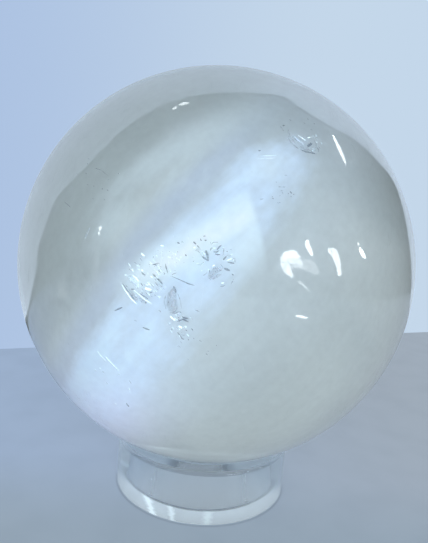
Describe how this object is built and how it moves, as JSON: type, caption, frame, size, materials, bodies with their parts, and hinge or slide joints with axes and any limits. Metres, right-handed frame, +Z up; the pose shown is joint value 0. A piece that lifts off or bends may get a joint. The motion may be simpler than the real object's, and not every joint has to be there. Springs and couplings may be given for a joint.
{
  "type": "polished mineral sphere on ring stand",
  "caption": "Polished milky-clear selenite sphere resting in the dished top of a short, thick-walled clear ring stand.",
  "frame": {"origin": "centre of the ring stand's foot, on the surface that it stands on", "axes": "+Z up through the ring's axis and the sphere's centre; -Y towards the viewer of the picture, +X to the viewer's right"},
  "size_m": [0.076, 0.076, 0.0834],
  "materials": {
    "milky_selenite": "hand polished to a gloss, milky and partly see-through, with silky bluish-white bands",
    "clear_acrylic": "polished clear acrylic"
  },
  "bodies": {
    "root": {"selenite_sphere": "milky_selenite", "ring_stand": "clear_acrylic"}
  },
  "joints": []
}
